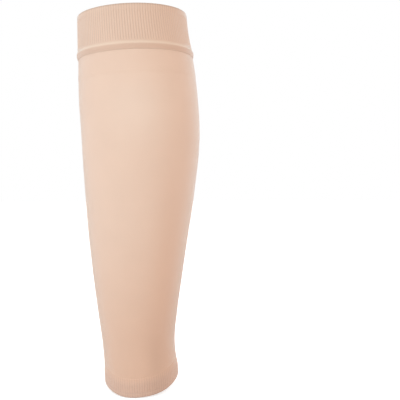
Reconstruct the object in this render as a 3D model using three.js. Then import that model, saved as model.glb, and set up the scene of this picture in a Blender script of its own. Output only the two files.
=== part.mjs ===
// Footless calf compression sleeve in the form it takes on the leg: a ribbed knee cuff, the rolled
// seam under it, the smooth calf tube and the ribbed ankle hem. Each is one ring of knitted fabric
// that lies on the same limb.
// Millimetres. +Z runs up the leg, -X is the shin, +X the calf muscle, Y crosses the leg. The origin
// is on the leg's axis at the middle of the knee cuff, where the sleeve grips.
import * as THREE from "three";

// Fabric: how far each ring's outer face stands off the limb.
const TUBE_WALL = 1.1;
const TURN_IN_WALL = 1.3; // the top of the tube, doubled by the cuff's turned-in edge
const CUFF_WALL = 2.0; // two layers
const SEAM_WALL = 2.7; // the roll where cuff and tube are linked
const HEM_WALL = 1.7;
const JOINT_GAP = 0.3; // between one ring and the next

// Ribs of the cuff and the hem.
const CUFF_RIBS = 140;
const HEM_RIBS = 96;
const RIB_DEPTH = 0.35;

// The cuff's top edge over the origin, the whole length from it to the hem's foot, and the heights of
// the rings.
const CUFF_TOP = 16.75;
const SLEEVE_LENGTH = 335.5;
const CUFF_HEIGHT = 31.8;
const CUFF_ROUND = 2; // height of its turned-over top edge
const SEAM_HEIGHT = 7.5;
const TURN_IN_DEPTH = 19; // how far the turned-in edge reaches down inside the tube
const TURN_IN_STEP = 1.4; // height over which the tube thickens there
const HEM_HEIGHT = 17;
const HEM_TAPER = 6; // how far below its top the hem reaches its full wall
const HEM_ROUND = 1; // height of its rounded lower edge

// How the edges leave the level: tilt lifts the calf side and drops the shin side, crown lifts the
// two flanks between them, or drops them where negative.
const CUFF_TILT = 2.3;
const CUFF_CROWN = -0.5;
const SEAM_TILT = 1.9;
const SEAM_CROWN = 0.1;
const HEM_TILT = 2.7;
const HEM_CROWN = -8.3;

// Facets round the smooth rings, and rows up the calf tube.
const SMOOTH_FACETS = 60;
const TUBE_ROWS_OUT = 17;
const TUBE_ROWS_IN = 12;

// The limb under the fabric, ankle to knee. front and back reach from the axis to shin and calf,
// side is half the width across, and egg shifts that width to the calf, or to the shin where negative.
const LIMB = [
  { height: -334, front: 25.4, back: 41, side: 31.5, egg: -0.05 },
  { height: -310, front: 26.4, back: 39.5, side: 31, egg: -0.08 },
  { height: -284, front: 28.5, back: 37, side: 30.5, egg: -0.1 },
  { height: -256, front: 32.2, back: 39.5, side: 33, egg: -0.08 },
  { height: -227, front: 35.9, back: 43.5, side: 37, egg: -0.03 },
  { height: -189, front: 40, back: 49, side: 42.5, egg: 0.03 },
  { height: -149, front: 43.1, back: 55, side: 47.5, egg: 0.08 },
  { height: -89, front: 46.7, back: 60.5, side: 53, egg: 0.1 },
  { height: -54, front: 48.6, back: 58.5, side: 53, egg: 0.09 },
  { height: -24, front: 48.4, back: 54.5, side: 52, egg: 0.06 },
  { height: 1, front: 48.4, back: 49.5, side: 50, egg: 0.04 },
  { height: 23, front: 48.9, back: 47, side: 49, egg: 0.03 },
];

const limbSizes = new THREE.CubicInterpolant(
  LIMB.map((row) => row.height),
  LIMB.flatMap((row) => [row.front, row.back, row.side, row.egg]),
  4,
);

// A point that stands off the limb by out, at this angle from the calf and this height.
function offLimb(angle, height, out) {
  const [front, back, side, egg] = limbSizes.evaluate(height);
  const reach = (front + back) / 2;
  const cos = Math.cos(angle);
  const sin = Math.sin(angle);
  const x = (back - front) / 2 + reach * cos;
  const y = side * sin * (1 + egg * cos);
  const alongX = -reach * sin;
  const alongY = side * (cos + egg * (cos * cos - sin * sin));
  const length = Math.hypot(alongX, alongY);
  return [x + (out * alongY) / length, y - (out * alongX) / length, height];
}

// The height of an edge at each angle from the calf. The flanks are broad: the crown falls off only
// near shin and calf.
function edge(height, tilt, crown) {
  return (angle) => {
    const cos = Math.cos(angle);
    return height + tilt * cos + crown * (1 - Math.abs(cos) ** 3);
  };
}

const cuffTop = edge(CUFF_TOP, CUFF_TILT, CUFF_CROWN);
const cuffFoot = edge(CUFF_TOP - CUFF_HEIGHT, SEAM_TILT, SEAM_CROWN);
const seamTop = edge(CUFF_TOP - CUFF_HEIGHT - JOINT_GAP, SEAM_TILT, SEAM_CROWN);
const seamFoot = edge(CUFF_TOP - CUFF_HEIGHT - SEAM_HEIGHT, SEAM_TILT, SEAM_CROWN);
const tubeTop = edge(CUFF_TOP - CUFF_HEIGHT - SEAM_HEIGHT - JOINT_GAP, SEAM_TILT, SEAM_CROWN);
const tubeFoot = edge(CUFF_TOP - SLEEVE_LENGTH + HEM_HEIGHT + JOINT_GAP, HEM_TILT, HEM_CROWN);
const hemTop = edge(CUFF_TOP - SLEEVE_LENGTH + HEM_HEIGHT, HEM_TILT, HEM_CROWN);
const hemFoot = edge(CUFF_TOP - SLEEVE_LENGTH, HEM_TILT, HEM_CROWN);

// A closed ring of fabric. Its section runs up the outer face and down the inner one: share is the
// height between foot and top, out the distance off the limb, rib the share of the rib depth there.
function fabricRing({ foot, top, section, facets }) {
  const positions = [];
  const triangles = [];
  const rows = section.length;
  for (let facet = 0; facet < facets; facet += 1) {
    const angle = (2 * Math.PI * facet) / facets;
    const groove = facet % 2;
    for (const { share, out, rib = 0 } of section) {
      const height = THREE.MathUtils.lerp(foot(angle), top(angle), share);
      positions.push(...offLimb(angle, height, out - groove * rib * RIB_DEPTH));
    }
    const next = (facet + 1) % facets;
    for (let row = 0; row < rows; row += 1) {
      const above = (row + 1) % rows;
      const a = facet * rows + row;
      const b = next * rows + row;
      const c = next * rows + above;
      const d = facet * rows + above;
      triangles.push(a, b, c, a, c, d);
    }
  }
  const geometry = new THREE.BufferGeometry();
  geometry.setAttribute("position", new THREE.Float32BufferAttribute(positions, 3));
  geometry.setIndex(triangles);
  geometry.computeVertexNormals();
  return geometry;
}

function knitMaterial(colour, roughness) {
  return new THREE.MeshStandardMaterial({ color: colour, roughness, metalness: 0 });
}

const smoothKnit = knitMaterial(0xe8cdb5, 0.8);
const ribbedKnit = knitMaterial(0xdfc2a9, 0.9);
const seamKnit = knitMaterial(0xe2c3ab, 0.85);
const hemKnit = knitMaterial(0xd9b8a0, 0.9);

// Knee cuff: ribbed, double, with its top edge turned over.
function kneeCuff() {
  const shoulder = 1 - CUFF_ROUND / CUFF_HEIGHT;
  const brow = 1 - CUFF_ROUND / 3 / CUFF_HEIGHT;
  const geometry = fabricRing({
    foot: cuffFoot,
    top: cuffTop,
    facets: 2 * CUFF_RIBS,
    section: [
      { share: 0, out: CUFF_WALL, rib: 1 },
      { share: shoulder, out: CUFF_WALL, rib: 1 },
      { share: brow, out: 0.85 * CUFF_WALL, rib: 0.5 },
      { share: 1, out: 0.5 * CUFF_WALL },
      { share: brow, out: 0.12 * CUFF_WALL },
      { share: shoulder, out: 0 },
      { share: 0, out: 0 },
    ],
  });
  return new THREE.Mesh(geometry, ribbedKnit);
}

// Cuff seam: the plain roll that stands proud between cuff and tube.
function cuffSeam() {
  const proud = SEAM_WALL - CUFF_WALL;
  const geometry = fabricRing({
    foot: seamFoot,
    top: seamTop,
    facets: SMOOTH_FACETS,
    section: [
      { share: 0, out: TURN_IN_WALL },
      { share: 0.12, out: CUFF_WALL + 0.2 * proud },
      { share: 0.35, out: SEAM_WALL - 0.2 * proud },
      { share: 0.54, out: SEAM_WALL },
      { share: 0.7, out: SEAM_WALL - 0.4 * proud },
      { share: 0.85, out: CUFF_WALL + 0.2 * proud },
      { share: 1, out: CUFF_WALL },
      { share: 1, out: 0 },
      { share: 0, out: 0 },
    ],
  });
  return new THREE.Mesh(geometry, seamKnit);
}

// Calf tube: one layer of smooth knit from the seam to the hem, thicker above the turn-in's end.
function calfTube() {
  const tubeHeight = SLEEVE_LENGTH - CUFF_HEIGHT - SEAM_HEIGHT - HEM_HEIGHT - 2 * JOINT_GAP;
  const turnInShare = 1 - TURN_IN_DEPTH / tubeHeight;
  const section = [];
  for (let row = 0; row < TUBE_ROWS_OUT; row += 1) {
    section.push({ share: (turnInShare * row) / (TUBE_ROWS_OUT - 1), out: TUBE_WALL });
  }
  section.push({ share: turnInShare + TURN_IN_STEP / tubeHeight, out: TURN_IN_WALL });
  section.push({ share: 1, out: TURN_IN_WALL });
  for (let row = TUBE_ROWS_IN - 1; row >= 0; row -= 1) {
    section.push({ share: row / (TUBE_ROWS_IN - 1), out: 0 });
  }
  const geometry = fabricRing({
    foot: tubeFoot,
    top: tubeTop,
    facets: SMOOTH_FACETS,
    section,
  });
  return new THREE.Mesh(geometry, smoothKnit);
}

// Ankle hem: a narrow ribbed band with a rounded lower edge.
function ankleHem() {
  const round = HEM_ROUND / HEM_HEIGHT;
  const geometry = fabricRing({
    foot: hemFoot,
    top: hemTop,
    facets: 2 * HEM_RIBS,
    section: [
      { share: 0, out: 0.5 * HEM_WALL },
      { share: round, out: HEM_WALL, rib: 0.6 },
      { share: 1 - HEM_TAPER / HEM_HEIGHT, out: HEM_WALL, rib: 1 },
      { share: 1, out: TUBE_WALL },
      { share: 1, out: 0 },
      { share: round, out: 0 },
    ],
  });
  return new THREE.Mesh(geometry, hemKnit);
}

const sleeve = new THREE.Group();
const rings = { knee_cuff: kneeCuff(), cuff_seam: cuffSeam(), calf_tube: calfTube(), ankle_hem: ankleHem() };
for (const [name, ring] of Object.entries(rings)) {
  ring.name = name;
  sleeve.add(ring);
}

export default sleeve;
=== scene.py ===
import bpy
import numpy as np
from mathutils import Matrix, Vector


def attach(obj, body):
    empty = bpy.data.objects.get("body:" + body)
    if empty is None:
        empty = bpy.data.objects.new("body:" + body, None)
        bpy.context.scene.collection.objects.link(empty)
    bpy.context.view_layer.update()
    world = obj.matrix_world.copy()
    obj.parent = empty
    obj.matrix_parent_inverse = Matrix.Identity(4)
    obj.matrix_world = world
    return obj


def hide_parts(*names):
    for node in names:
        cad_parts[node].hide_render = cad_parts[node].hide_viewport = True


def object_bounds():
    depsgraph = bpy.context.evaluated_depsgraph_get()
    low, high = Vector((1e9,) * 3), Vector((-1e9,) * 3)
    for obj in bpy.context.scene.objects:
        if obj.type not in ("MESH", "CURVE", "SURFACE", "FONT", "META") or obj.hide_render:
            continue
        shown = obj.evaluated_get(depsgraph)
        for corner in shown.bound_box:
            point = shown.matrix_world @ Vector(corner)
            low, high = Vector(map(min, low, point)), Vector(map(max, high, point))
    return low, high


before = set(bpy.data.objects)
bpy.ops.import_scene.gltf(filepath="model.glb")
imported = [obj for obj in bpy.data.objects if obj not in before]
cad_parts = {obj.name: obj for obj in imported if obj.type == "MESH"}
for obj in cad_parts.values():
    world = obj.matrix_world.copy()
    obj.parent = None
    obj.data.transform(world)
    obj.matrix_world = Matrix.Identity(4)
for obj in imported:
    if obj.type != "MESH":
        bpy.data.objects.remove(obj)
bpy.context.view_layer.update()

# Calf tube: the sleeve's main fabric, one layer of fine compression knit in nylon and elastane.
# It is knitted round without a side seam, and the leg stretches it into its own form. Its top end
# is a little thicker, where the cuff's inner layer reaches down behind it.
SEAM_FOOT_HEIGHT = -0.02255
SEAM_TILT = 0.0019
SEAM_CROWN = 0.0001
HEM_TOP_HEIGHT = -0.30175
HEM_TILT = 0.0027
HEM_CROWN = -0.0083
CROWN_POWER = 3  # the higher, the wider a crown's level middle on each flank
TUBE_WALL = 0.0011
TURN_IN_WALL = 0.0013  # down to the end of the cuff's inner layer
TURN_IN_DEPTH = 0.019
TURN_IN_STEP = 0.0015
TURN_IN_SLACK = 0.055
TUBE_TUCK = 0.001  # how far each end runs on behind the seam roll or the hem
TUBE_FACETS = 240
TUBE_ROWS = 120
TUBE_INNER_ROWS = 60
TUBE_WALES = 420
TUBE_COURSE = 0.0007
TUBE_RELIEF = 0.00008
TUBE_WANDER = 1.5  # how many wales a wale drifts to the side at most
# the belly patch brings the tube to this colour: stretched knit with a painted highlight on it
TUBE_STRETCHED_AND_HIGHLIT = (0.822, 0.606, 0.484)
TUBE_SLACK = (0.75, 0.491, 0.362)
UPPER_SLACK = 0.33  # under the seam
SLACKER_BELOW = 0.55  # share of the tube's height
SLACKER_OVER = 0.6

# The leg that gives the fabric its form, ankle to knee: height, reach to the shin, reach to the calf,
# half width across, and the share by which that width shifts to the calf, or to the shin where negative.
LEG = np.array([
    (-0.334, 0.0254, 0.0410, 0.0315, -0.05),
    (-0.310, 0.0264, 0.0395, 0.0310, -0.08),
    (-0.284, 0.0285, 0.0370, 0.0305, -0.10),
    (-0.256, 0.0322, 0.0395, 0.0330, -0.08),
    (-0.227, 0.0359, 0.0435, 0.0370, -0.03),
    (-0.189, 0.0400, 0.0490, 0.0425, 0.03),
    (-0.149, 0.0431, 0.0550, 0.0475, 0.08),
    (-0.089, 0.0467, 0.0605, 0.0530, 0.10),
    (-0.054, 0.0486, 0.0585, 0.0530, 0.09),
    (-0.024, 0.0484, 0.0545, 0.0520, 0.06),
    (0.001, 0.0484, 0.0495, 0.0500, 0.04),
    (0.023, 0.0489, 0.0470, 0.0490, 0.03),
])

# Patches of painted light on both flanks: their height, how far they reach up and down, the cosine of their
# angle from the calf, and how far that spreads. The belly is paler, partly knit stretched over the calf and
# partly a painted highlight; towards the calf's back the colour deepens as painted shade, and beside the
# tendon above the ankle painted shade darkens it.
CALF_BELLY_HIGHLIGHT = (-0.071, 0.027, 0.0, 0.45)
BELLY_STRETCH_AND_HIGHLIGHT = -0.33
CALF_BACK_SHADE = (-0.2, 0.08, 0.57, 0.25)
BACK_PAINTED_SHADE = 0.28
TENDON_SHADE_PATCH = (-0.303, 0.036, 0.43, 0.28)
# how much the painted shade beside the tendon darkens the colour
HOLLOW_SHADE = 0.10


def smooth_rows(table, wanted):
    """A table's values on a smooth curve through its rows, wherever its first column is as wanted."""
    knots = table[:, 0]
    sizes = table[:, 1:]
    slopes = np.gradient(sizes, knots, axis=0)
    low = np.clip(np.searchsorted(knots, wanted) - 1, 0, len(knots) - 2)
    span = (knots[low + 1] - knots[low])[..., None]
    t = (wanted - knots[low])[..., None] / span
    blend = 3 * t**2 - 2 * t**3
    leaving = (t**3 - 2 * t**2 + t) * span * slopes[low]
    arriving = (t**3 - t**2) * span * slopes[low + 1]
    found = (1 - blend) * sizes[low] + blend * sizes[low + 1] + leaving + arriving
    return np.moveaxis(found, -1, 0)


def off_leg(angle, height, out):
    """Points that stand off the leg by out, at angles from the calf, and which way outward is there."""
    front, back, side, egg = smooth_rows(LEG, height)
    reach = (front + back) / 2
    cos = np.cos(angle)
    sin = np.sin(angle)
    skin = np.stack([(back - front) / 2 + reach * cos, side * sin * (1 + egg * cos), height], axis=-1)
    along_x = -reach * sin
    along_y = side * (cos + egg * (cos**2 - sin**2))
    outward = np.stack([along_y, -along_x, np.zeros_like(height)], axis=-1)
    outward /= np.hypot(along_x, along_y)[..., None]
    return skin + outward * out[..., None], outward


def edge(height, tilt, crown):
    """An edge's height round the leg: tilt lifts the calf and drops the shin, crown lifts the flanks."""
    return lambda angle: height + tilt * np.cos(angle) + crown * (1 - np.abs(np.cos(angle)) ** CROWN_POWER)


def flank_patch(angle, height, middle, reach, aside, spread):
    """A soft-edged patch on both flanks: 1 in its middle, and less the further away."""
    up = (height - middle) / reach
    along = (np.cos(angle) - aside) / spread
    return np.exp(-(up**2) - along**2)


def at(share, rise, out, rib=0.0, slack_and_shade=0.0, steps=1):
    """A corner of a ring's section, and the steps from it to the next one. share is its place between foot
    and top, rise its height over that place and out its distance off the leg, both in metres; rib is the
    share of the rib depth there, negative on the inner face, and the last value how deep the colour is:
    how little the knit is stretched, with painted shade and highlights added where a piece has them."""
    return (share, rise, out, rib, slack_and_shade), steps


def closed_section(*corners):
    """All the rows of a closed section, on straight lines between its corners."""
    rows = [row for row, steps in corners]
    ends = rows[1:] + rows[:1]
    lines = zip(rows, ends, [steps for row, steps in corners])
    return np.vstack([np.linspace(row, end, steps, endpoint=False) for row, end, steps in lines])


def fabric_ring(name, foot, top, section, facets):
    """A closed ring of fabric round the leg. Its section runs up the outer face and down the inner one."""
    share, rise, out, rib, slack_and_shade = section.T
    rows = len(section)
    angle = 2 * np.pi * np.arange(facets)[:, None] / facets
    height = foot(angle) * (1 - share) + top(angle) * share + rise
    spots, outward = off_leg(angle, height, np.broadcast_to(out, height.shape))

    facet, row = np.meshgrid(np.arange(facets), np.arange(rows), indexing="ij")
    here = facet * rows
    after = (facet + 1) % facets * rows
    above = (row + 1) % rows
    quads = np.stack([here + row, after + row, after + above, here + above], axis=-1)
    mesh = bpy.data.meshes.new(name)
    mesh.from_pydata(spots.reshape(-1, 3).tolist(), [], quads.reshape(-1, 4).tolist())
    mesh.shade_smooth()

    # The knitting's own coordinates: once round the ring, and metres along the section.
    steps = np.linalg.norm(np.roll(spots, -1, axis=1) - spots, axis=2).mean(axis=0)
    along = np.concatenate([[0], np.cumsum(steps)])
    u = np.stack([facet, facet + 1, facet + 1, facet], axis=-1) / facets
    v = along[np.stack([row, row, row + 1, row + 1], axis=-1)]
    mesh.uv_layers.new(name="knit").data.foreach_set("uv", np.stack([u, v], axis=-1).ravel())

    around = angle / (2 * np.pi)
    # Painted light: a highlight on the calf's belly, partly stretched knit, and painted shade towards the
    # calf's back and beside the tendon.
    slack_and_shade = slack_and_shade + BELLY_STRETCH_AND_HIGHLIGHT * flank_patch(angle, height, *CALF_BELLY_HIGHLIGHT)
    slack_and_shade = slack_and_shade + BACK_PAINTED_SHADE * flank_patch(angle, height, *CALF_BACK_SHADE)
    painted_hollow_shade = flank_patch(angle, height, *TENDON_SHADE_PATCH)
    for label, values in {"around": around, "rib_share": rib, "slack_and_shade": slack_and_shade, "painted_hollow_shade": painted_hollow_shade}.items():
        attribute = mesh.attributes.new(label, "FLOAT", "POINT")
        attribute.data.foreach_set("value", np.broadcast_to(values, height.shape).ravel())
    mesh.attributes.new("outward", "FLOAT_VECTOR", "POINT").data.foreach_set("vector", outward.ravel())

    ring = bpy.data.objects.new(name, mesh)
    bpy.context.scene.collection.objects.link(ring)
    return ring


def node(tree, kind, sockets=(), **settings):
    """A new node, with its sockets fed by other nodes' outputs or set to plain values."""
    made = tree.nodes.new(kind)
    for setting, value in settings.items():
        setattr(made, setting, value)
    for socket, value in dict(sockets).items():
        if isinstance(value, bpy.types.NodeSocket):
            tree.links.new(value, made.inputs[socket])
        else:
            made.inputs[socket].default_value = value
    return made


def maths(tree, operation, *values):
    """What a maths node makes of other nodes' outputs or plain values."""
    return node(tree, "ShaderNodeMath", enumerate(values), operation=operation).outputs[0]


# Yarn and stitch, alike in all pieces. A loop's leg slants by a share of a course, and is lower in the
# middle of its wale and between courses. Tints are shares of the colour, noises a scale and a detail.
LOOP_SLANT = 0.7
LOOP_MIDDLE = 0.15
LOOP_GAP = 0.35
LOOP_TINT = 0.10
LOOP_LEVEL = 0.55  # the height of a loop that has the plain colour
GROOVE_SHARPNESS = 2.5  # between ribs, where there are any
DRIFT_NOISE = (110, 2)
MOTTLE_NOISE = (40, 5)
MOTTLE_TINT = 0.07
FIBRE_NOISE = (2500, 1)
FIBRE_TINT = 0.04
NOISE_LEVEL = 0.5
YARN_ROUGHNESS = 0.70
GAP_ROUGHNESS = 0.84
YARN_GLOSS = 0.35
FUZZ = 1.0
FUZZ_ROUGHNESS = 0.35


def knit_material(name, wales, course, stretched, slack_and_shade, relief, wander, groove_shade=0.0):
    """Plain knit: in each wale two legs of yarn slant up from the middle, one pair to a course. The colour
    deepens from stretched to slack knit and with painted shade, and is lighter on the yarn than in the gaps;
    painted shade darkens it between ribs, where the purl stitches also lie deeper, and beside the tendon."""
    material = bpy.data.materials.new(name)
    material.use_nodes = True
    tree = material.node_tree
    place = node(tree, "ShaderNodeTexCoord").outputs["Object"]

    def noise(scale, detail):
        sockets = {"Vector": place, "Scale": scale, "Detail": detail}
        return node(tree, "ShaderNodeTexNoise", sockets).outputs["Fac"]

    def attribute(label):
        return node(tree, "ShaderNodeAttribute", attribute_name=label).outputs["Fac"]

    knit = node(tree, "ShaderNodeUVMap", uv_map="knit").outputs["UV"]
    split = node(tree, "ShaderNodeSeparateXYZ", {"Vector": knit})
    drift = maths(tree, "MULTIPLY", noise(*DRIFT_NOISE), wander)
    wale = maths(tree, "FRACT", maths(tree, "MULTIPLY_ADD", split.outputs["X"], wales, drift))
    from_middle = maths(tree, "ABSOLUTE", maths(tree, "MULTIPLY_ADD", wale, 2, -1))
    course_up = maths(tree, "MULTIPLY_ADD", split.outputs["Y"], 1 / course, drift)
    slanted = maths(tree, "FRACT", maths(tree, "MULTIPLY_ADD", from_middle, -LOOP_SLANT, course_up))
    yarn = maths(tree, "SINE", maths(tree, "MULTIPLY", slanted, np.pi))
    across_leg = maths(tree, "MULTIPLY_ADD", from_middle, 1 - LOOP_MIDDLE, LOOP_MIDDLE)
    leg = maths(tree, "SINE", maths(tree, "MULTIPLY", across_leg, np.pi))
    loop = maths(tree, "MULTIPLY", leg, maths(tree, "MULTIPLY_ADD", yarn, 1 - LOOP_GAP, LOOP_GAP))
    groove = maths(tree, "POWER", from_middle, GROOVE_SHARPNESS)

    dye_and_shade = node(tree, "ShaderNodeValToRGB", {"Fac": attribute("slack_and_shade")})
    dye_and_shade.color_ramp.elements[0].color = (*stretched, 1)
    dye_and_shade.color_ramp.elements[1].color = (*slack_and_shade, 1)
    shade = maths(tree, "MULTIPLY_ADD", loop, LOOP_TINT, 1 - LOOP_TINT * LOOP_LEVEL)
    # Painted shade darkens the grooves between ribs, partly purl stitches lying deeper, and the place beside
    # the tendon.
    for cause, tint, plain_level in (
        (groove, -groove_shade, 0),
        (attribute("painted_hollow_shade"), -HOLLOW_SHADE, 0),
        (noise(*MOTTLE_NOISE), MOTTLE_TINT, NOISE_LEVEL),
        (noise(*FIBRE_NOISE), FIBRE_TINT, NOISE_LEVEL),
    ):
        change = maths(tree, "MULTIPLY_ADD", cause, tint, 1 - tint * plain_level)
        shade = maths(tree, "MULTIPLY", shade, change)
    tinted = node(
        tree, "ShaderNodeVectorMath", {"Vector": dye_and_shade.outputs["Color"], "Scale": shade}, operation="SCALE"
    )
    roughness = maths(tree, "MULTIPLY_ADD", loop, YARN_ROUGHNESS - GAP_ROUGHNESS, GAP_ROUGHNESS)
    bump = node(tree, "ShaderNodeBump", {"Height": loop, "Distance": relief, "Strength": 1.0})

    shader = tree.nodes["Principled BSDF"]
    shader.inputs["Specular IOR Level"].default_value = YARN_GLOSS
    shader.inputs["Sheen Weight"].default_value = FUZZ
    shader.inputs["Sheen Roughness"].default_value = FUZZ_ROUGHNESS
    tree.links.new(tinted.outputs["Vector"], shader.inputs["Base Color"])
    tree.links.new(roughness, shader.inputs["Roughness"])
    tree.links.new(bump.outputs["Normal"], shader.inputs["Normal"])
    return material


def knit_relief_tree():
    """Geometry Nodes: presses the grooves between ribs into a ring, and makes its fabric slightly uneven."""
    tree = bpy.data.node_groups.new("knit_relief", "GeometryNodeTree")
    for label, kind in {
        "Fabric": "NodeSocketGeometry",
        "Rib Count": "NodeSocketFloat",
        "Rib Depth": "NodeSocketFloat",
        "Groove Sharpness": "NodeSocketFloat",
        "Unevenness": "NodeSocketFloat",
        "Unevenness Size": "NodeSocketFloat",
        "Seed": "NodeSocketFloat",
        "Knit": "NodeSocketMaterial",
    }.items():
        tree.interface.new_socket(label, in_out="INPUT", socket_type=kind)
    tree.interface.new_socket("Knitted", in_out="OUTPUT", socket_type="NodeSocketGeometry")
    given = node(tree, "NodeGroupInput").outputs

    def attribute(label, kind="FLOAT"):
        return node(tree, "GeometryNodeInputNamedAttribute", {"Name": label}, data_type=kind).outputs[0]

    across = maths(tree, "FRACT", maths(tree, "MULTIPLY", attribute("around"), given["Rib Count"]))
    from_crest = maths(tree, "ABSOLUTE", maths(tree, "MULTIPLY_ADD", across, 2, -1))
    groove = maths(tree, "POWER", from_crest, given["Groove Sharpness"])
    depth = maths(tree, "MULTIPLY", attribute("rib_share"), given["Rib Depth"])
    noise = node(
        tree,
        "ShaderNodeTexNoise",
        {"W": given["Seed"], "Scale": maths(tree, "DIVIDE", 1, given["Unevenness Size"])},
        noise_dimensions="4D",
    )
    swell = maths(tree, "MULTIPLY_ADD", noise.outputs["Fac"], 2, -1)
    swell = maths(tree, "MULTIPLY", swell, given["Unevenness"])
    lift = maths(tree, "SUBTRACT", swell, maths(tree, "MULTIPLY", groove, depth))
    offset = node(
        tree,
        "ShaderNodeVectorMath",
        {"Vector": attribute("outward", "FLOAT_VECTOR"), "Scale": lift},
        operation="SCALE",
    )
    moved = node(
        tree, "GeometryNodeSetPosition", {"Geometry": given["Fabric"], "Offset": offset.outputs["Vector"]}
    )
    real = node(tree, "GeometryNodeRealizeInstances", {"Geometry": moved.outputs["Geometry"]})
    dressed = node(
        tree,
        "GeometryNodeSetMaterial",
        {"Geometry": real.outputs["Geometry"], "Material": given["Knit"]},
    )
    node(tree, "NodeGroupOutput", {"Knitted": dressed.outputs["Geometry"]})
    return tree


UNEVENNESS = 0.00015
UNEVENNESS_SIZE = 0.025
UNEVENNESS_SEED = 1.0
SHARP_EDGE = np.radians(70)  # folds sharper than this, at lapped ends, aren't shaded round
knit_relief = knit_relief_tree()


def knit_up(ring, knit, ribs=1, rib_depth=0.0):
    """Runs the relief on a ring, and keeps the result as its plain mesh. The unevenness is one field for all
    rings, so that they stay together where they meet."""
    modifier = ring.modifiers.new("knit relief", "NODES")
    modifier.node_group = knit_relief
    given = {
        "Rib Count": float(ribs),
        "Rib Depth": rib_depth,
        "Groove Sharpness": GROOVE_SHARPNESS,
        "Unevenness": UNEVENNESS,
        "Unevenness Size": UNEVENNESS_SIZE,
        "Seed": UNEVENNESS_SEED,
        "Knit": knit,
    }
    for socket in knit_relief.interface.items_tree:
        if socket.name in given:
            modifier[socket.identifier] = given[socket.name]
    depsgraph = bpy.context.evaluated_depsgraph_get()
    knitted = bpy.data.meshes.new_from_object(
        ring.evaluated_get(depsgraph), preserve_all_data_layers=True, depsgraph=depsgraph
    )
    ring.modifiers.clear()
    knitted.set_sharp_from_angle(angle=SHARP_EDGE)
    ring.data = knitted


def tube_slack(share):
    """How slack the knit is at each share of the tube's height, slackest at the ankle."""
    down = np.clip((SLACKER_BELOW - share) / SLACKER_OVER, 0, 1)
    return UPPER_SLACK + (1 - UPPER_SLACK) * down**2 * (3 - 2 * down)


seam_foot = edge(SEAM_FOOT_HEIGHT, SEAM_TILT, SEAM_CROWN)
hem_top = edge(HEM_TOP_HEIGHT, HEM_TILT, HEM_CROWN)
turn_in = 1 - TURN_IN_DEPTH / (SEAM_FOOT_HEIGHT - HEM_TOP_HEIGHT)
tube_section = closed_section(
    at(0, -TUBE_TUCK, TUBE_WALL, steps=TUBE_ROWS),
    at(turn_in, 0, TUBE_WALL, steps=3),
    at(turn_in, TURN_IN_STEP, TURN_IN_WALL, slack_and_shade=TURN_IN_SLACK, steps=10),
    at(1, TUBE_TUCK, TURN_IN_WALL, slack_and_shade=TURN_IN_SLACK, steps=2),
    at(1, TUBE_TUCK, 0, steps=TUBE_INNER_ROWS),
    at(0, -TUBE_TUCK, 0, steps=2),
)
tube_shares = tube_section[:, 0]
tube_section[:, -1] += tube_slack(tube_shares)
calf_tube = fabric_ring("calf_tube_knit", hem_top, seam_foot, tube_section, TUBE_FACETS)
tube_knit = knit_material(
    "fine_compression_knit", TUBE_WALES, TUBE_COURSE, TUBE_STRETCHED_AND_HIGHLIT, TUBE_SLACK, TUBE_RELIEF, TUBE_WANDER
)
knit_up(calf_tube, tube_knit)
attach(calf_tube, "root")
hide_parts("calf_tube")

# Knee cuff: the ribbed band that grips under the knee, in thicker double knit with elastic yarn.
# It is folded over at its top edge, which leaves a smooth rim above the ribs.
CUFF_TOP_HEIGHT = 0.01675
CUFF_FOOT_HEIGHT = -0.01505
CUFF_TILT = 0.0023
CUFF_CROWN = -0.0005
CUFF_WALL = 0.002
CUFF_RIM = 0.0045
CUFF_ROWS = 20
CUFF_INNER_ROWS = 12
CUFF_RIBS = 140
CUFF_RIB_DEPTH = 0.00028
FACETS_PER_RIB = 8
RIB_FADE = 0.0008  # the height over which ribs rise from a smooth edge
INNER_RIB = -0.7
FOLD_STEPS = 8
FOLD_SIDE_SHADE = 0.5  # painted shade along the fold: this much at its two sides, and 1 on its top
CUFF_INNER_SLACK = 0.3
CUFF_COURSE = 0.0013
CUFF_RELIEF = 0.00012
CUFF_WANDER = 0.05
# painted shade in the grooves between ribs, partly the purl stitches there
CUFF_GROOVE_SHADE = 0.115
CUFF_COLOUR = (0.735, 0.513, 0.395)
# the fold's top is darkened to this colour as painted shade; the inner face goes part of the way to it
CUFF_DEEP_AND_SHADED = (0.50, 0.355, 0.27)

cuff_foot = edge(CUFF_FOOT_HEIGHT, SEAM_TILT, SEAM_CROWN)
cuff_top = edge(CUFF_TOP_HEIGHT, CUFF_TILT, CUFF_CROWN)
fold_radius = CUFF_WALL / 2
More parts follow.
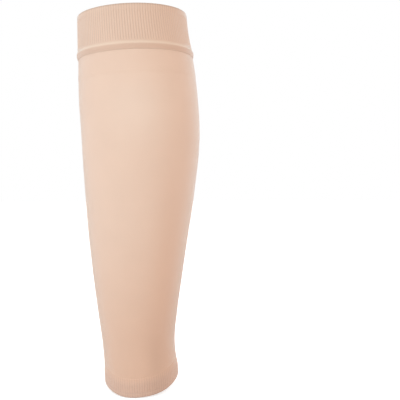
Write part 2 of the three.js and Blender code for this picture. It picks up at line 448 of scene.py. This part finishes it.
# The fold round the top edge, darkened towards its top with painted shade.
cuff_fold = [
    at(
        1,
        fold_radius * (np.sin(turn) - 1),
        fold_radius * (1 + np.cos(turn)),
        slack_and_shade=FOLD_SIDE_SHADE + (1 - FOLD_SIDE_SHADE) * np.sin(turn),
    )
    for turn in np.linspace(0, np.pi, FOLD_STEPS, endpoint=False)
]
cuff_section = closed_section(
    at(0, 0, CUFF_WALL),
    at(0, RIB_FADE, CUFF_WALL, steps=2),
    at(0, 2 * RIB_FADE, CUFF_WALL, rib=1, steps=CUFF_ROWS),
    at(1, -CUFF_RIM - RIB_FADE, CUFF_WALL, rib=1, steps=2),
    at(1, -CUFF_RIM, CUFF_WALL, steps=3),
    at(1, -2 * fold_radius, CUFF_WALL),
    *cuff_fold,
    at(1, -fold_radius, 0, slack_and_shade=CUFF_INNER_SLACK, steps=2),
    at(1, -CUFF_RIM, 0, slack_and_shade=CUFF_INNER_SLACK),
    at(1, -CUFF_RIM - RIB_FADE, 0, rib=INNER_RIB, slack_and_shade=CUFF_INNER_SLACK, steps=CUFF_INNER_ROWS),
    at(0, 2 * RIB_FADE, 0, rib=INNER_RIB, slack_and_shade=CUFF_INNER_SLACK, steps=2),
    at(0, 0, 0, slack_and_shade=CUFF_INNER_SLACK, steps=2),
)
knee_cuff = fabric_ring("knee_cuff_knit", cuff_foot, cuff_top, cuff_section, CUFF_RIBS * FACETS_PER_RIB)
cuff_knit = knit_material(
    "ribbed_cuff_knit",
    CUFF_RIBS,
    CUFF_COURSE,
    CUFF_COLOUR,
    CUFF_DEEP_AND_SHADED,
    CUFF_RELIEF,
    CUFF_WANDER,
    CUFF_GROOVE_SHADE,
)
knit_up(knee_cuff, cuff_knit, CUFF_RIBS, CUFF_RIB_DEPTH)
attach(knee_cuff, "root")
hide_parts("knee_cuff")

# Seam roll: the plain welt that stands proud where cuff and tube are linked, knitted in the cuff's yarn.
# Its top laps the cuff's foot, and its foot curls in over the tube and leaves a soft crease.
ROLL_CLEAR = 0.0001
ROLL_LAP = 0.0006
ROLL_LAP_CLEAR = 0.00002
ROLL_ROWS = 30
ROLL_FACETS = 560
ROLL_WALES = 280
ROLL_WALE_DEPTH = 0.00008
ROLL_COURSE = 0.001
ROLL_RELIEF = 0.0001
ROLL_WANDER = 0.3
ROLL_COLOUR = (0.80, 0.605, 0.473)
ROLL_DEEP_AND_SHADED = (0.70, 0.474, 0.36)

# The roll's outer face from foot to top: share of its height, distance off the leg and depth of colour.
# The colour is deepest on the lower face under the crest, as painted shade and partly a denser knit, and
# lightest just above the crest, as a painted highlight.
ROLL_FACE = np.array([
    (0.00, 0.00142, 0.2),
    (0.05, 0.00178, 0.6),
    (0.15, 0.00213, 1.0),
    (0.35, 0.00255, 1.0),
    (0.56, 0.00280, 0.9),
    (0.70, 0.00262, 0.15),
    (0.85, 0.00222, 0.35),
    (1.00, 0.00205, 0.65),
])

tube_clear = TURN_IN_WALL + ROLL_CLEAR
over_tube = TUBE_TUCK + ROLL_CLEAR
roll_shares = np.linspace(0, 1, ROLL_ROWS)
# Painted shade on the lower face and a painted highlight above the crest, from the face's last column.
roll_face = [
    at(share, 0, out, rib=np.sin(share * np.pi), slack_and_shade=shade_depth)
    for share, out, shade_depth in zip(roll_shares, *smooth_rows(ROLL_FACE, roll_shares))
]
roll_section = closed_section(
    *roll_face,
    at(1, ROLL_LAP, CUFF_WALL + 2 * ROLL_LAP_CLEAR, slack_and_shade=1),
    at(1, ROLL_LAP, CUFF_WALL + ROLL_LAP_CLEAR),
    at(1, -ROLL_CLEAR, CUFF_WALL + ROLL_LAP_CLEAR),
    at(1, -ROLL_CLEAR, 0),
    at(0, over_tube, 0),
    at(0, over_tube, tube_clear, slack_and_shade=1),
)
seam_roll = fabric_ring("cuff_seam_roll", seam_foot, cuff_foot, roll_section, ROLL_FACETS)
roll_knit = knit_material(
    "rolled_seam_knit", ROLL_WALES, ROLL_COURSE, ROLL_COLOUR, ROLL_DEEP_AND_SHADED, ROLL_RELIEF, ROLL_WANDER
)
knit_up(seam_roll, roll_knit, ROLL_WALES, ROLL_WALE_DEPTH)
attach(seam_roll, "root")
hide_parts("cuff_seam")

# Ankle hem: the narrow ribbed band that ends the sleeve, knitted on in the tube's yarn. A fine raised line
# joins it to the tube, and its lower edge is turned up into a smooth rim with a pressed line above it.
HEM_HEIGHT = 0.017
HEM_WALL = 0.0017
HEM_TAPER = 0.006  # the stretch below its top over which it thickens
HEM_RIM = 0.0035
HEM_LINE = 0.0006
HEM_LINE_DEPTH = 0.00018
HEM_LAP_CLEAR = 0.00003
HEM_BEAD = 0.0014
HEM_BEAD_PROUD = 0.0002
HEM_ROWS = 12
HEM_INNER_ROWS = 8
HEM_RIBS = 96
HEM_RIB_DEPTH = 0.00025
HEM_SLACK = 0.6
HEM_RIM_SLACK = 0.8
HEM_BEAD_SLACK = 0.2
HEM_COURSE = 0.0012
HEM_RELIEF = 0.00012
HEM_WANDER = 0.05
# painted shade in the grooves between ribs, partly the purl stitches there
HEM_GROOVE_SHADE = 0.06
HEM_DEEP = (0.625, 0.423, 0.337)

hem_foot = edge(HEM_TOP_HEIGHT - HEM_HEIGHT, HEM_TILT, HEM_CROWN)
rim_radius = HEM_WALL / 2
hem_edge = [
    at(0, rim_radius * (1 + np.sin(turn)), rim_radius * (1 + np.cos(turn)), slack_and_shade=HEM_RIM_SLACK)
    for turn in np.linspace(-np.pi, 0, FOLD_STEPS, endpoint=False)
]
line_out = HEM_WALL - HEM_LINE_DEPTH
lap_out = TUBE_WALL + HEM_LAP_CLEAR
ribs_from = HEM_RIM + 2 * HEM_LINE
tube_end = -TUBE_TUCK - ROLL_CLEAR
hem_section = closed_section(
    *hem_edge,
    at(0, rim_radius, HEM_WALL, slack_and_shade=HEM_RIM_SLACK, steps=4),
    at(0, HEM_RIM, HEM_WALL, slack_and_shade=HEM_SLACK, steps=2),
    at(0, HEM_RIM + HEM_LINE / 2, line_out, slack_and_shade=1, steps=3),
    at(0, ribs_from, HEM_WALL, rib=1, slack_and_shade=HEM_SLACK, steps=HEM_ROWS),
    at(1, -HEM_TAPER, HEM_WALL, rib=1, slack_and_shade=HEM_SLACK, steps=6),
    at(1, -HEM_BEAD, lap_out + HEM_BEAD_PROUD / 2, slack_and_shade=HEM_BEAD_SLACK, steps=3),
    at(1, -HEM_BEAD / 2, lap_out + HEM_BEAD_PROUD, slack_and_shade=HEM_BEAD_SLACK / 2, steps=3),
    at(1, 0, lap_out, steps=2),
    at(1, tube_end, lap_out, slack_and_shade=HEM_SLACK, steps=2),
    at(1, tube_end, 0, slack_and_shade=HEM_SLACK, steps=2),
    at(1, -HEM_TAPER, 0, rib=INNER_RIB, slack_and_shade=HEM_SLACK, steps=HEM_INNER_ROWS),
    at(0, ribs_from, 0, rib=INNER_RIB, slack_and_shade=HEM_SLACK, steps=4),
)
ankle_hem = fabric_ring("ankle_hem_knit", hem_foot, hem_top, hem_section, HEM_RIBS * FACETS_PER_RIB)
hem_knit = knit_material(
    "ribbed_hem_knit", HEM_RIBS, HEM_COURSE, TUBE_SLACK, HEM_DEEP, HEM_RELIEF, HEM_WANDER, HEM_GROOVE_SHADE
)
knit_up(ankle_hem, hem_knit, HEM_RIBS, HEM_RIB_DEPTH)
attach(ankle_hem, "root")
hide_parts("ankle_hem")

# Studio: a plain white floor just under the hem, in a bright, warm surround that lights it from all sides,
# with three large, cooler lights: the key from the left, one from above the camera, and one behind the
# sleeve to the right, which brightens its edge. The camera stands at the calf's height.
FLOOR_HALF = 4.0
FLOOR_DROP = 0.0005
FLOOR_BOUNCE = 0.8
FLOOR_SHOWN = 0.8
FLOOR_GLOW = 0.7
SURROUND_LIGHT = (0.962, 0.821, 0.746)
SURROUND_SHOWN = (1.0, 1.0, 1.0)
SLEEVE_MIDDLE = Vector((0.005, 0, -0.15))
SOFT_LIGHT_SIZE = 0.8
KEY_PLACE = Vector((-1.10, -0.64, 0.08))
KEY_WATTS = 5.5
KEY_COLOUR = (0.47, 0.785, 0.965)
FRONT_PLACE = Vector((0.005, -0.84, 0.85))
FRONT_WATTS = 3.5
FRONT_COLOUR = (0.49, 0.89, 1.0)
BACK_PLACE = Vector((0.55, 0.89, 0.0))
BACK_WATTS = 4.0
BACK_COLOUR = (0.66, 0.88, 1.0)
CAMERA_PLACE = Vector((0.004, -0.564, -0.1288))
CAMERA_AIM = Vector((0.0623, 0, -0.152))
CAMERA_LENS = 54

floor_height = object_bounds()[0].z - FLOOR_DROP
floor_mesh = bpy.data.meshes.new("studio_floor")
floor_mesh.from_pydata(
    [(x * FLOOR_HALF, y * FLOOR_HALF, floor_height) for x, y in [(-1, -1), (1, -1), (1, 1), (-1, 1)]],
    [],
    [(0, 1, 2, 3)],
)
floor = bpy.data.objects.new("studio_floor", floor_mesh)
bpy.context.scene.collection.objects.link(floor)
floor_paint = bpy.data.materials.new("white_floor")
floor_paint.use_nodes = True
tree = floor_paint.node_tree
tree.nodes.clear()
seen = node(tree, "ShaderNodeLightPath").outputs["Is Camera Ray"]
bounce = node(tree, "ShaderNodeBsdfDiffuse", {"Color": (FLOOR_BOUNCE, FLOOR_BOUNCE, FLOOR_BOUNCE, 1)})
paint = node(tree, "ShaderNodeBsdfDiffuse", {"Color": (FLOOR_SHOWN, FLOOR_SHOWN, FLOOR_SHOWN, 1)})
glow = node(tree, "ShaderNodeEmission", {"Strength": FLOOR_GLOW})
shown = node(tree, "ShaderNodeAddShader", {0: paint.outputs[0], 1: glow.outputs[0]})
either = node(tree, "ShaderNodeMixShader", {0: seen, 1: bounce.outputs[0], 2: shown.outputs[0]})
node(tree, "ShaderNodeOutputMaterial", {"Surface": either.outputs[0]})
floor_mesh.materials.append(floor_paint)

surround = bpy.data.worlds.new("white_surround")
surround.use_nodes = True
tree = surround.node_tree
tree.nodes.clear()
seen = node(tree, "ShaderNodeLightPath").outputs["Is Camera Ray"]
lighting = node(tree, "ShaderNodeBackground", {"Color": (*SURROUND_LIGHT, 1)})
shown = node(tree, "ShaderNodeBackground", {"Color": (*SURROUND_SHOWN, 1)})
either = node(tree, "ShaderNodeMixShader", {0: seen, 1: lighting.outputs[0], 2: shown.outputs[0]})
node(tree, "ShaderNodeOutputWorld", {"Surface": either.outputs[0]})
bpy.context.scene.world = surround


def soft_light(name, place, watts, colour):
    """A large square light that faces the middle of the sleeve."""
    lamp = bpy.data.lights.new(name, "AREA")
    lamp.energy = watts
    lamp.size = SOFT_LIGHT_SIZE
    lamp.color = colour
    light = bpy.data.objects.new(name, lamp)
    light.location = place
    light.rotation_euler = (SLEEVE_MIDDLE - place).to_track_quat("-Z", "Y").to_euler()
    bpy.context.scene.collection.objects.link(light)


soft_light("key_light", KEY_PLACE, KEY_WATTS, KEY_COLOUR)
soft_light("front_light", FRONT_PLACE, FRONT_WATTS, FRONT_COLOUR)
soft_light("back_light", BACK_PLACE, BACK_WATTS, BACK_COLOUR)

camera = bpy.data.objects.new("camera", bpy.data.cameras.new("camera"))
camera.data.lens = CAMERA_LENS
camera.location = CAMERA_PLACE
camera.rotation_euler = (CAMERA_AIM - CAMERA_PLACE).to_track_quat("-Z", "Y").to_euler()
bpy.context.scene.collection.objects.link(camera)
bpy.context.scene.camera = camera
bpy.context.scene.view_settings.view_transform = "Standard"
